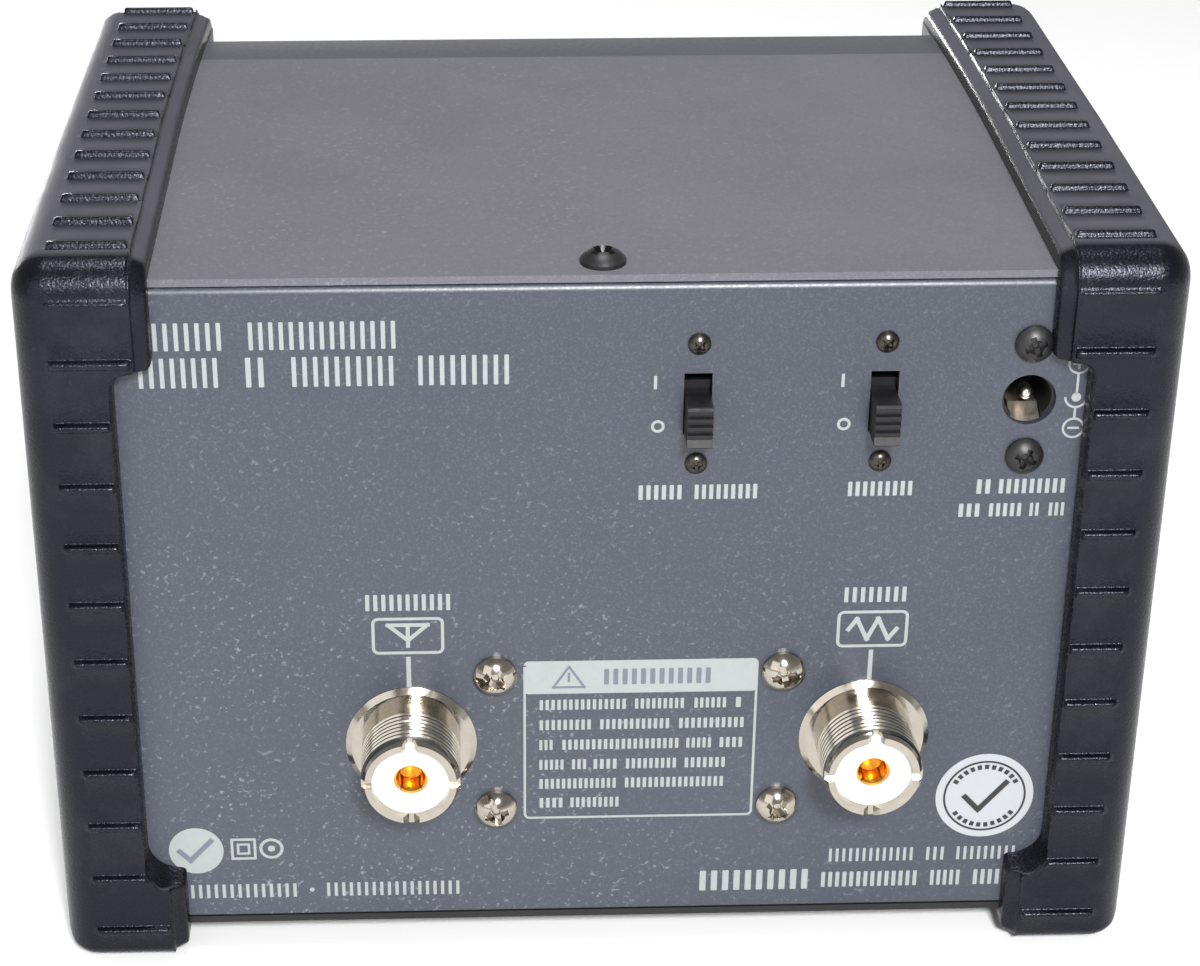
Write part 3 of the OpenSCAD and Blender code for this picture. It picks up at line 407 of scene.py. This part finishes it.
def depth_share(y):
    """-1 at the front end of a bumper and 1 at its rear end."""
    return (2 * y - BLO[1] - BHI[1]) / (BHI[1] - BLO[1])


def toe_in(y, z):
    """The bumpers stand a little closer together at the top of the rear than at the front."""
    u = depth_share(y)
    return -TOE * u * (0.3 + 0.7 * z / BHI[2]) if u > 0 else -FRONT_TOE * u


def bumper(sign, name, node):
    foot_x, x_out = BLO[0] + TOE, BHI[0] - OUTER_GAP
    stations = []
    for kind, v, h in bumper_stations():
        if v is None:
            stations += [(kind, 0, 0, (k + 1) / (ARC + 1)) for k in range(ARC)]
        else:
            stations.append((kind, v, h, 0))
    # across the rim, from the case outwards: (zone, place in the zone, inset, share of the rib's height)
    rows = [("foot", 0.0, PROUD + 0.6, 0), ("foot", 0.0, PROUD - 0.05, 0), ("foot", 0.03, 2.3, 0),
            ("foot", 0.1, 1.55, 0),
            ("foot", 0.3, 1.3, 0), ("bev", 0.55, 1.0, 0), ("bev", 0.8, 0.7, 0), ("bev", 0.97, 0.5, 0),
            ("part", 1.0, 0.42, 0), ("part", 1.04, -0.08, 0), ("part", 1.08, -0.2, 0),
            ("part", 1.13, -0.13, 0), ("band", 0.0, 0.0, 0.0), ("band", 0.012, 0, 0.55),
            ("band", 0.025, 0, 0.9), ("band", 0.05, 0, 1.0)]
    rows += [("band", k, 0, 1.0) for k in (0.15, 0.3, 0.45, 0.6, 0.75, 0.88)]
    rows += [("band", 0.955, 0, 1.0), ("band", 0.975, 0, 0.88), ("band", 0.988, 0, 0.5),
             ("band", 1.0, 0, 0.0)]
    for k in range(1, 10):
        a = math.radians(10 * k)
        rows.append(("round", ROUND_X * math.sin(a), ROUND_X * (1 - math.cos(a)), 0))
    rnd = random.Random(7)
    for dx, ins in ((0, ROUND_X + 3), (0, 12.4), (0, 12.9), (0.05, 13.15), (0.3, 13.3), (0.85, 13.6),
                    (0.97, 13.8), (1, 14.3), (1, 18)):
        rows.append(("side", -dx, ins, 0))
    verts, faces, ribs = [], [], []
    for kind, v, h, turn in stations:
        shift = notch_shift(kind, v)
        bevel = BEVEL - BEVEL_LOSS * shift / STEP
        taper = FRONT_TAPER * min(depth_share(station_point(kind, v, 0, turn)[0]), 0) ** 2
        foot = foot_x - taper + shift
        flash, wander = rnd.uniform(0.2, 1.0), rnd.uniform(-0.09, 0.09)
        for what, a, ins, share in rows:
            lift = h * share
            y, z = station_point(kind, v, ins * (flash if what == "part" else 1) - lift, turn)
            if what in ("foot", "bev", "part"):
                x = foot + a * bevel + (wander if what == "part" else 0)
            elif what == "band":
                xa, xb = foot + bevel * 1.13 + 0.12, x_out - ROUND_X
                x = xa + a * (xb - xa)
            elif what == "round":
                x = x_out - ROUND_X + a
            else:
                x = x_out + a
            verts.append((sign * (x + toe_in(y, z)), y, z))
            ribs.append(lift)
    n, m = len(stations), len(rows)
    for i in range(n):
        j = (i + 1) % n
        for k in range(m - 1):
            quad = [i * m + k, j * m + k, j * m + k + 1, i * m + k + 1]
            faces.append(quad if sign > 0 else quad[::-1])
    cap = [i * m + m - 1 for i in range(n)]
    faces.append(cap if sign > 0 else cap[::-1])
    ob = mesh_object(name, verts, faces, "bumper_rubber")
    ob.data.attributes.new("rib", "FLOAT", "POINT").data.foreach_set("value", ribs)
    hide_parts(node)


bumper(1, "bumper_right_rubber", "right_bumper")
bumper(-1, "bumper_left_rubber", "left_bumper")

smooth_cad([ob for n, ob in NODES.items() if n not in ("right_bumper", "left_bumper")])


# ---------------------------------------------------------------- contact springs

def contact_lit_disc(node, name):
    """A gold disc 3.2 mm inside a contact's mouth, seen between its leaves: it covers the shade of the deep
    bore and stands in for light reaching into it (painted light).
    """
    lo, hi = box_mm(node)
    cx, cz = (lo[0] + hi[0]) / 2, (lo[2] + hi[2]) / 2
    y, r, n = hi[1] - 3.2, 1.95, 32
    turns = [2 * math.pi * i / n for i in range(n)]
    verts = [(cx + r * math.cos(a), y, cz + r * math.sin(a)) for a in turns] + [(cx, y - 0.5, cz)]
    mesh_object(name, verts, [(i, (i + 1) % n, n) for i in range(n)], "gold_contact")


contact_lit_disc("output_socket_contact", "output_contact_lit_disc")
contact_lit_disc("input_socket_contact", "input_contact_lit_disc")


def insulator_key(node, name):
    """The insulator's key, which fills the foot of the V notch at the top of a socket's rim."""
    lo, hi = box_mm(node)
    cx, cz, end = (lo[0] + hi[0]) / 2, (lo[2] + hi[2]) / 2, hi[1]
    outline = ((-0.38, end - 1.29), (0.38, end - 1.29), (0.72, end - 0.78), (-0.72, end - 0.78))
    verts = [(cx + x, y, cz + r) for r in (6.1, 7.1) for x, y in outline]
    faces = [(0, 3, 2, 1), (4, 5, 6, 7)] + [(i, (i + 1) % 4, (i + 1) % 4 + 4, i + 4) for i in range(4)]
    mesh_object(name, verts, faces, "white_polymer", smooth=False)


insulator_key("output_socket_shell", "output_insulator_key")
insulator_key("input_socket_shell", "input_insulator_key")


# ---------------------------------------------------------------- prints

class Print:
    """Flat ink shapes on one face; x runs to the reader's right and z up, both in mm."""

    def __init__(self, name, y, out, mat, flip=1, z0=0.0):
        self.name, self.mat = name, mat
        self.y, self.out, self.flip, self.z0 = y, out, flip, z0
        self.v, self.f, self.count = [], [], 0

    def poly(self, pts):
        n, k = len(self.v), len(pts)
        self.count = (self.count + 7) % 16
        for d in (0.0, 0.03 + 0.001 * self.count):
            self.v += [(self.flip * x, self.y + self.out * d, z + self.z0) for x, z in pts]
        self.f.append([n + k + i for i in range(k)])
        self.f.append([n + i for i in reversed(range(k))])
        for i in range(k):
            j = (i + 1) % k
            self.f.append([n + i, n + j, n + k + j, n + k + i])
        return self

    def rect(self, x0, z0, x1, z1):
        return self.poly([(x0, z0), (x1, z0), (x1, z1), (x0, z1)])

    def corners(self, x0, z0, x1, z1, r):
        pts = []
        for cx, cz, start in ((x1 - r, z1 - r, 0), (x0 + r, z1 - r, 90), (x0 + r, z0 + r, 180),
                              (x1 - r, z0 + r, 270)):
            angles = [math.radians(start + 15 * k) for k in range(7)]
            pts += [(cx + r * math.cos(a), cz + r * math.sin(a)) for a in angles]
        return pts

    def plate(self, x0, z0, x1, z1, r):
        return self.poly(self.corners(x0, z0, x1, z1, r))

    def frame(self, x0, z0, x1, z1, r, w):
        a, b = self.corners(x0, z0, x1, z1, r), self.corners(x0 + w, z0 + w, x1 - w, z1 - w, max(r - w, 0.05))
        for i in range(len(a)):
            j = (i + 1) % len(a)
            self.poly([a[i], a[j], b[j], b[i]])
        return self

    def arc(self, cx, cz, r0, r1, a0=0, a1=360, step=8):
        n = max(int(abs(a1 - a0) / step), 1)
        ang = [math.radians(a0 + (a1 - a0) * i / n) for i in range(n + 1)]
        for a, b in zip(ang, ang[1:]):
            ring = ((r0, a), (r1, a), (r1, b), (r0, b))
            self.poly([(cx + r * math.cos(t), cz + r * math.sin(t)) for r, t in ring])
        return self

    def disc(self, cx, cz, r, n=48):
        return self.poly([(cx + r * math.cos(2 * math.pi * i / n), cz + r * math.sin(2 * math.pi * i / n))
                          for i in range(n)])

    def stroke(self, pts, w):
        for (x0, z0), (x1, z1) in zip(pts, pts[1:]):
            d = math.hypot(x1 - x0, z1 - z0)
            nx, nz = -(z1 - z0) / d * w / 2, (x1 - x0) / d * w / 2
            ex, ez = (x1 - x0) / d * w / 2, (z1 - z0) / d * w / 2
            self.poly([(x0 - ex + nx, z0 - ez + nz), (x0 - ex - nx, z0 - ez - nz),
                       (x1 + ex - nx, z1 + ez - nz), (x1 + ex + nx, z1 + ez + nz)])
        return self

    def blocks(self, z, h, pitch, fill, *words):
        """Greeked words: each (x0, x1) becomes a row of small blocks."""
        for x0, x1 in words:
            n = max(round((x1 - x0) / pitch), 1)
            w = (x1 - x0) / n
            for i in range(n):
                a = x0 + i * w
                self.plate(a + w * (1 - fill) / 2, z - h / 2, a + w * (1 + fill) / 2, z + h / 2,
                           min(h, w * fill) * 0.2)
        return self

    def number(self, text, cx, cz, size, bold=0.0):
        cu = bpy.data.curves.new("number", "FONT")
        cu.body = text
        cu.size = size
        cu.offset = bold
        cu.align_x = "CENTER"
        cu.align_y = "CENTER"
        ob = bpy.data.objects.new("number", cu)
        me = bpy.data.meshes.new_from_object(ob)
        n = len(self.v)
        self.v += [(self.flip * (v.co.x + cx), self.y + self.out * 0.03, v.co.y + cz + self.z0)
                   for v in me.vertices]
        self.f += [[n + i for i in p.vertices] for p in me.polygons]
        bpy.data.objects.remove(ob)
        bpy.data.meshes.remove(me)
        bpy.data.curves.remove(cu)
        return self

    def done(self):
        mesh_object(self.name, self.v, self.f, self.mat, smooth=False)


# Rear panel. x counts from the middle to the right of someone who looks at the sockets, and z from the
# bend at the panel's foot.
def rear(name, mat, lift=0.0):
    return Print(name, REAR_Y + lift, 1, mat, -1, PANEL_Z + 1.15)


p = rear("rear_print", "ink")
p.blocks(104.4, 4.5, 1.5, 0.42, (-67.9, -56.8), (-53.6, -30.8))
p.blocks(98.5, 4.9, 1.55, 0.42, (-70.4, -57.6), (-54.4, -50.6), (-47.4, -31.2), (-28.4, -13.8))
for x in (7.9, 36.4):
    p.rect(x - 0.24, 94.9, x + 0.24, 97.1)
    p.arc(x + 0.5, 88.65, 0.62, 1.05, 0, 360, 12)
p.blocks(77.35, 2.5, 1.2, 0.55, (5.4, 12.6), (14.1, 24.3))
p.blocks(77.5, 2.5, 1.2, 0.55, (37.9, 48.4))
p.blocks(77.6, 2.5, 1.2, 0.55, (57.9, 60.6), (61.4, 72.2))
p.blocks(73.5, 2.3, 1.1, 0.55, (55.4, 59.2), (60.2, 65.7), (66.6, 68.4), (69.6, 72.4))
for x, w in ((-30.5, 5.75), (43.45, 5.7)):
    p.frame(x - w, 49.1, x + w, 55.8, 1.1, 0.5)
    p.rect(x - 0.36, 42.9, x + 0.36, 48.6)
p.blocks(58.5, 2.9, 1.3, 0.5, (-37.4, -23.4))
p.blocks(58.7, 2.7, 1.3, 0.5, (38.3, 48.8))
p.stroke([(-30.5, 50.6), (-30.5, 54.4)], 0.65)
p.stroke([(-33.6, 54.4), (-30.5, 51.6), (-27.4, 54.4)], 0.65)
p.rect(-34.0, 54.1, -27.0, 54.75)
p.stroke([(39.6, 52.4), (40.9, 54.3), (42.6, 50.6), (44.3, 54.3), (46.0, 50.6), (47.3, 52.4)], 0.7)
p.frame(-12.2, 17.3, 25.5, 47.4, 1.0, 0.4)
p.plate(-12.2, 41.3, 25.5, 47.4, 0.9)
for z, words in ((39.2, ((-9.8, 4.5), (5.6, 13.9), (15.2, 20.7), (21.8, 23.2))),
                 (35.4, ((-9.8, -1.1), (0, 11.6), (12.8, 23.7))),
                 (31.6, ((-9.8, -7.3), (-6.1, 13.2), (14.1, 18.5), (19.5, 23.6))),
                 (27.8, ((-9.8, -5.5), (-4.5, -1.8), (-1, 3.2), (4.3, 12.9), (13.9, 20.9))),
                 (24.1, ((-9.8, 3.1), (4.2, 20.7))), (20.4, ((-9.8, -5.6), (-4.7, 3.6)))):
    p.blocks(z, 1.9, 0.95, 0.58, *words)
p.blocks(3.9, 2.7, 1.3, 0.42, (-68.0, -49.7), (-45.4, -22.6))
p.disc(-47.5, 3.9, 0.4, 12)
p.disc(-66.3, 12.1, 4.5)
p.frame(-60.6, 10.2, -56.4, 14.4, 0.1, 0.45)
p.frame(-59.6, 11.2, -57.4, 13.4, 0.1, 0.4)
p.arc(-53.9, 12.3, 1.5, 2.0, 0, 360, 10)
p.disc(-53.9, 12.3, 0.6, 16)
p.blocks(4.3, 4.0, 1.9, 0.55, (16.8, 35.8))
p.blocks(4.1, 3.0, 1.2, 0.55, (37.4, 54.0), (55.8, 61.2), (63.0, 70.4))
p.blocks(9.0, 2.6, 1.15, 0.42, (38.4, 53.1), (54.7, 58.3), (59.8, 70.2))
for z, plus in ((98.3, True), (87.5, False)):
    p.arc(72.3, z, 1.4, 1.75, 0, 360, 12)
    p.rect(71.4, z - 0.18, 73.2, z + 0.18)
    if plus:
        p.rect(72.12, z - 0.9, 72.48, z + 0.9)
p.disc(72.3, 92.7, 0.75, 16)
p.arc(72.3, 92.7, 1.5, 1.85, 180, 360, 12)
p.rect(72.12, 93.3, 72.48, 96.6)
p.rect(72.12, 89.2, 72.48, 90.9)
p.done()

p = rear("rear_print_dark", "ink_panel", 0.03)
p.stroke([(-7.4, 42.5), (-4.9, 46.3), (-2.4, 42.5), (-7.4, 42.5)], 0.4)
p.rect(-5.1, 43.5, -4.7, 45.2)
p.blocks(44.35, 2.9, 1.45, 0.55, (0.4, 18.2))
p.stroke([(-69.0, 12.0), (-67.3, 10.2), (-63.8, 14.0)], 0.9)
p.done()

STICKER = (63.9, 20.35)
p = rear("sticker_print", "ink_dark", 0.13)
p.arc(*STICKER, 6.5, 6.85, 0, 360, 6)
p.stroke([(60.7, 20.2), (63.0, 17.7), (67.3, 22.9)], 0.95)
for a in list(range(30, 151, 12)) + list(range(216, 325, 12)):
    p.arc(*STICKER, 5.25, 6.1, a - 3.6, a + 3.6, 8)
p.done()

# Dial. x to the right of someone who reads it.
PLATE_Y = box_mm("scale_plate")[0][1]
PIVOT_Z = (box_mm("forward_yoke")[0][2] + box_mm("forward_yoke")[1][2]) / 2
PIVOT_X = (box_mm("forward_yoke")[0][0] + box_mm("forward_yoke")[1][0]) / 2
p = Print("dial_print", PLATE_Y, -1, "ink_dark")
red = Print("dial_print_red", PLATE_Y, -1, "ink_red")
REST, SWING = 15.0, 47.0


def dial_point(side, deg, r):
    """A point at a pointer's angle above the horizontal; side 1 is the forward pointer."""
    a = math.radians(deg)
    return side * (PIVOT_X - r * math.cos(a)), PIVOT_Z + r * math.sin(a)


LABELLED = (0, 1, 2, 4, 6, 10, 20, 30)         # of the 40 steps; the last one has a long mark but no number
for side, labels in ((1, ("0", "5", "10", "20", "30", "50", "100", "150")),
                     (-1, ("0", "1", "2", "4", "6", "10", "20", "30"))):
    for i in range(49):
        for r, w in ((62.4, 0.35), (56.0, 0.2)):
            a, b = REST + SWING * i / 49, REST + SWING * (i + 1) / 49
            p.poly([dial_point(side, a, r), dial_point(side, b, r), dial_point(side, b, r + w),
                    dial_point(side, a, r + w)])
    for i in range(41):
        deg = REST + SWING * math.sqrt(i / 40)
        long = i in LABELLED or i == 40
        outer, width = (65.4, 0.3) if long else (64.1, 0.18)
        p.stroke([dial_point(side, deg, 62.6), dial_point(side, deg, outer)], width)
    for i, text in zip(LABELLED, labels):
        x, z = dial_point(side, REST + SWING * math.sqrt(i / 40), 59.4)
        p.number(text, x, z, 3.0, 0.03)
for ratio, text in ((1.2, "1.2"), (1.5, "1.5"), (2, "2"), (3, "3"), (5, "5")):
    gamma = (ratio - 1) / (ratio + 1)
    pts = []
    for k in range(12):
        fwd = REST + SWING * math.sqrt((0.12 + 0.88 * k / 11) * 0.98)
        ref = REST + SWING * min(gamma * math.sqrt(5) * math.sqrt((0.12 + 0.88 * k / 11) * 0.98) / 1.6, 0.98)
        a, b = math.radians(fwd), math.radians(ref)
        # where the two needles cross
        t = 2 * PIVOT_X / (math.cos(a) + math.sin(a) / math.tan(b))
        pts.append((PIVOT_X - t * math.cos(a), PIVOT_Z + t * math.sin(a)))
    pts = [q for q in pts if q[1] > 56 and q[1] < 96]
    if len(pts) > 1:
        red.stroke(pts, 0.22)
        red.number(text, pts[-1][0], pts[-1][1] + 2.2, 2.8, 0.03)
p.done()
red.done()

# Marks round the range knob and over the button.
KNOB = [(a + b) / 2 for a, b in zip(*box_mm("range_knob"))]
BTN = [(a + b) / 2 for a, b in zip(*box_mm("mode_button"))]
p = Print("front_print", FRONT_Y, -1, "ink")
for deg, text in ((120, "1"), (90, "2"), (60, "3")):
    a = math.radians(deg)
    p.disc(KNOB[0] + 11.2 * math.cos(a), KNOB[2] + 11.2 * math.sin(a), 0.35, 12)
    if deg != 90:
        p.number(text, KNOB[0] + 14 * math.cos(a), KNOB[2] + 13.4 * math.sin(a) - 1.5, 2.6, 0.02)
p.stroke([(BTN[0] - 3, BTN[2] + 6), (BTN[0] - 1, BTN[2] + 6), (BTN[0], BTN[2] + 8), (BTN[0] + 1, BTN[2] + 6),
          (BTN[0] + 3, BTN[2] + 6)], 0.35)
p.done()


# ---------------------------------------------------------------- stage, light and camera

def area(name, loc, target, size, power, size_y=None):
    d = bpy.data.lights.new(name, "AREA")
    d.energy = power
    d.shape = "RECTANGLE"
    d.size = size
    d.size_y = size_y or size
    o = bpy.data.objects.new(name, d)
    o.location = loc
    o.rotation_euler = (Vector(target) - Vector(loc)).to_track_quat("-Z", "Y").to_euler()
    bpy.context.scene.collection.objects.link(o)


FLOOR = 40                     # half its side, in metres
me = bpy.data.meshes.new("floor")
me.from_pydata([(-FLOOR, -FLOOR, 0), (FLOOR, -FLOOR, 0), (FLOOR, FLOOR, 0), (-FLOOR, FLOOR, 0)], [],
               [(0, 1, 2, 3)])
floor = bpy.data.objects.new("floor", me)
bpy.context.scene.collection.objects.link(floor)
me.materials.append(Mat("floor", (0.78, 0.78, 0.78, 1), 0.9).m)

world = bpy.data.worlds.new("world")
bpy.context.scene.world = world
world.use_nodes = True
wn, wl = world.node_tree.nodes, world.node_tree.links
sky = wn.new("ShaderNodeTexCoord")
split = wn.new("ShaderNodeSeparateXYZ")
shade = wn.new("ShaderNodeValToRGB")
# (height above the horizon, grey)
SKY = ((0.0, 0.85), (0.08, 0.75), (0.2, 0.36), (0.95, 0.26))
while len(shade.color_ramp.elements) < len(SKY):
    shade.color_ramp.elements.new(0.5)
for el, (pos, v) in zip(shade.color_ramp.elements, SKY):
    el.position, el.color = pos, (v, v, v, 1)
wl.new(sky.outputs["Generated"], split.inputs[0])
wl.new(split.outputs["Z"], shade.inputs["Fac"])
wl.new(shade.outputs["Color"], wn["Background"].inputs["Color"])
wn["Background"].inputs["Strength"].default_value = 1.0

area("key", (-0.12, 1.05, 0.8), (0, 0.05, 0.06), 0.2, 27)
area("fill", (0.7, 1.0, 0.5), (0, 0.05, 0.06), 0.8, 3)
area("top", (0.0, 0.0, 1.3), (0, 0, 0.1), 0.22, 9)
area("front", (0.35, -1.1, 0.05), (0, -0.05, 0.06), 0.8, 9, 0.12)

CAM_LOC = Vector((0.02158, REAR_Y * MM + 0.36367, 0.26998))
FWD = Vector((-0.0295, -0.8864, -0.4620)).normalized()
cam_data = bpy.data.cameras.new("camera")
cam_data.sensor_width = 36
cam_data.lens = 79.34
cam_data.shift_x = 0.0495
cam_data.shift_y = 0.0296
cam_data.clip_start = 0.01
cam = bpy.data.objects.new("camera", cam_data)
right = Vector((-0.99945, 0.03328, 0.0)).normalized()
up = right.cross(FWD).normalized()
roll = 0.00135
r2 = right * math.cos(roll) + up * math.sin(roll)
u2 = -right * math.sin(roll) + up * math.cos(roll)
rot = Matrix((r2, u2, -FWD)).transposed()
cam.matrix_world = Matrix.Translation(CAM_LOC) @ rot.to_4x4()
bpy.context.scene.collection.objects.link(cam)
bpy.context.scene.camera = cam
bpy.context.scene.view_settings.view_transform = "Standard"
